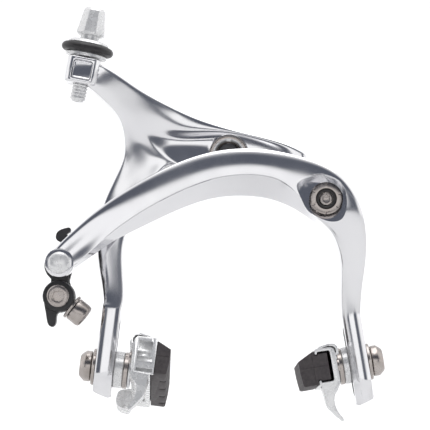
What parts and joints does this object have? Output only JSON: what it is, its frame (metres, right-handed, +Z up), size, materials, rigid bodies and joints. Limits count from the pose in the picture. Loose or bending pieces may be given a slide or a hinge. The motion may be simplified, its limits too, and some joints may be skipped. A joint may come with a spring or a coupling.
{
  "type": "rim brake caliper",
  "caption": "Long-reach dual-pivot side-pull rim brake caliper with slotted legs, hinged pad holders, cable adjuster and quick-release lever.",
  "frame": {"origin": "on the centre bolt's axis, on the rear face of the crown washer, which rests on the fork crown", "axes": "seen from the front of the bicycle, +X to the right, +Y back into the fork crown, +Z up"},
  "size_m": [0.104, 0.0789, 0.1263],
  "materials": {
    "alloy": "polished",
    "steel": "satin nickel plated",
    "black_plastic": "satin",
    "black_rubber": "matt",
    "pad_rubber": "matt"
  },
  "bodies": {
    "core": {"crown_washer": "steel", "centre_bolt": "steel", "sleeve_nut": "steel", "back_plate": "alloy", "rear_thrust_washer": "black_plastic", "front_thrust_washer": "steel", "centre_nut": "steel", "centre_cap": "black_plastic", "side_pivot_bolt": "steel", "side_lock_screw": "steel", "side_thrust_washer": "black_plastic", "spring_sleeve": "black_plastic", "return_spring": "steel"},
    "rear_arm_body": {"rear_arm": "alloy", "centre_bushing": "steel", "centring_screw": "steel", "spring_slider": "black_plastic"},
    "front_arm_body": {"front_arm": "alloy", "side_bushing": "steel", "cam_pin": "steel", "lever_rivet": "steel"},
    "cable_stop": {"adjuster_stud": "alloy"},
    "adjuster_wheel": {"adjuster_nut": "alloy", "adjuster_o_ring": "black_rubber"},
    "lever": {"quick_release_lever": "black_plastic", "anchor_bolt": "steel", "anchor_nut": "steel", "pinch_bolt": "steel", "pinch_washer": "steel"},
    "right_pad_bolt": {"right_shoe_bolt": "steel", "right_outer_washer": "steel", "right_spacer": "alloy", "right_concave_washer": "steel"},
    "right_shoe": {"right_convex_washer": "steel", "right_pad_holder": "alloy", "right_brake_pad": "pad_rubber", "right_pad_screw": "steel"},
    "left_pad_bolt": {"left_shoe_bolt": "steel", "left_outer_washer": "steel", "left_spacer": "alloy", "left_concave_washer": "steel"},
    "left_shoe": {"left_convex_washer": "steel", "left_pad_holder": "alloy", "left_brake_pad": "pad_rubber", "left_pad_screw": "steel"}
  },
  "joints": [
    {"name": "rear_arm_pivot", "type": "hinge", "parent": "core", "child": "rear_arm_body", "pos_m": [0, -0.0175, 0], "axis": [0, -1, 0], "range_deg": [0, 7.2], "stiffness_Nm_per_rad": 0.4, "springref_deg": -28.65, "deforming": ["return_spring"]},
    {"name": "front_arm_pivot", "type": "hinge", "parent": "core", "child": "front_arm_body", "pos_m": [0.0294, -0.02, -0.0144], "axis": [0, 1, 0], "range_deg": [0, 9.3]},
    {"name": "adjuster_wheel_turn", "type": "hinge", "parent": "rear_arm_body", "child": "adjuster_wheel", "pos_m": [-0.0432, -0.028, 0.0318], "axis": [0.1908, 0, 0.9816], "range_deg": [0, 1800]},
    {"name": "cable_stop_slide", "type": "slide", "parent": "rear_arm_body", "child": "cable_stop", "axis": [0.1908, 0, 0.9816], "range_m": [0, 0.005]},
    {"name": "lever_turn", "type": "hinge", "parent": "front_arm_body", "child": "lever", "pos_m": [-0.0511, -0.028, -0.0338], "axis": [0, 1, 0], "range_deg": [0, 70]},
    {"name": "right_pad_height", "type": "slide", "parent": "front_arm_body", "child": "right_pad_bolt", "axis": [0.165, 0, -0.9863], "range_m": [-0.0085, 0.0065]},
    {"name": "right_pad_pitch", "type": "hinge", "parent": "right_pad_bolt", "child": "right_shoe", "pos_m": [0.0397, -0.02, -0.064], "axis": [0.9863, 0, 0.165], "range_deg": [-13, 17]},
    {"name": "left_pad_height", "type": "slide", "parent": "rear_arm_body", "child": "left_pad_bolt", "axis": [-0.1219, 0, -0.9925], "range_m": [-0.0122, 0.0028]},
    {"name": "left_pad_pitch", "type": "hinge", "parent": "left_pad_bolt", "child": "left_shoe", "pos_m": [-0.0379, -0.02, -0.0654], "axis": [0.9925, 0, -0.1219], "range_deg": [-3, 27]}
  ],
  "couplings": [
    {"joint": "front_arm_pivot", "follows": "rear_arm_pivot", "ratio": 1.28},
    {"joint": "adjuster_wheel_turn", "follows": "cable_stop_slide", "rad_per_m": 6283.2}
  ]
}
